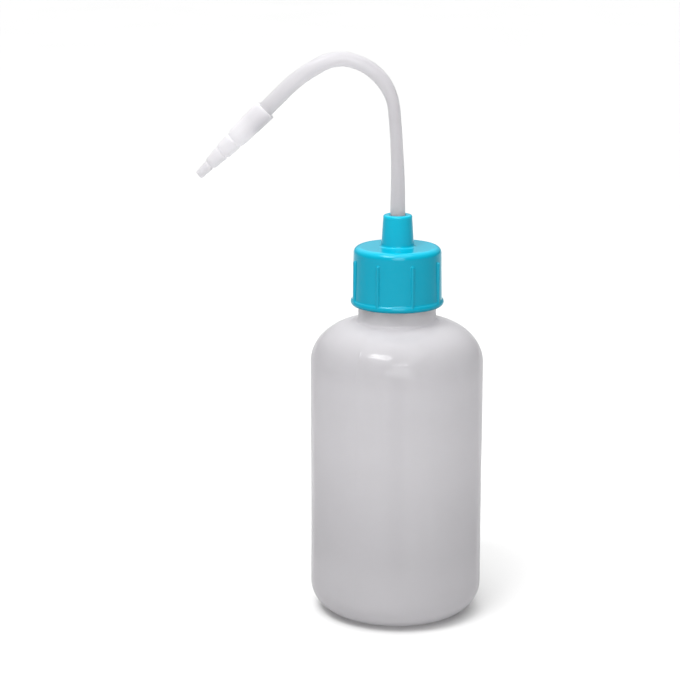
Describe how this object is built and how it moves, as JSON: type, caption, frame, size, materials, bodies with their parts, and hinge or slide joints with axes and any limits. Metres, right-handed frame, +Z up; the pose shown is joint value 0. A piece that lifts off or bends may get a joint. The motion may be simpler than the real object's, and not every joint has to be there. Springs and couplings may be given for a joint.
{
  "type": "wash bottle",
  "caption": "Squeezable laboratory wash bottle with a ribbed screw cap, an inner plug, a dip tube, a swan-neck delivery tube and a stepped nozzle tip.",
  "frame": {"origin": "on the bottle's axis at the plane of its foot ring", "axes": "+Z up along the bottle's axis, -X towards the nozzle, +Y at right angles to the plane of the swan neck"},
  "size_m": [0.1234, 0.075, 0.2464],
  "materials": {
    "bottle": "milky translucent low-density polyethylene, satin",
    "cap": "glossy turquoise polypropylene",
    "plug": "natural low-density polyethylene",
    "tube": "natural translucent polyethylene, satin",
    "tip": "natural translucent polyethylene, satin"
  },
  "bodies": {
    "bottle": {"bottle": "bottle"},
    "plug": {"inner_plug": "plug", "dip_tube": "tube"},
    "cap": {"screw_cap": "cap"},
    "swan_neck": {"delivery_tube": "tube"},
    "tip": {"nozzle_tip": "tip"}
  },
  "joints": [
    {"name": "closure_rise", "type": "slide", "parent": "bottle", "child": "plug", "axis": [0, 0, 1], "range_m": [0, 0.00601]},
    {"name": "cap_turn", "type": "hinge", "parent": "plug", "child": "cap", "pos_m": [0, 0, 0.15], "axis": [0, 0, 1], "range_deg": [0, 540]},
    {"name": "tube_swivel", "type": "hinge", "parent": "plug", "child": "swan_neck", "pos_m": [0, 0, 0.17], "axis": [0, 0, 1], "continuous": true},
    {"name": "tip_pull", "type": "slide", "parent": "swan_neck", "child": "tip", "axis": [-0.7133, 0, -0.7009], "range_m": [0, 0.02]}
  ],
  "couplings": [
    {"joint": "closure_rise", "follows": "cap_turn", "m_per_rad": 0.00063662}
  ]
}
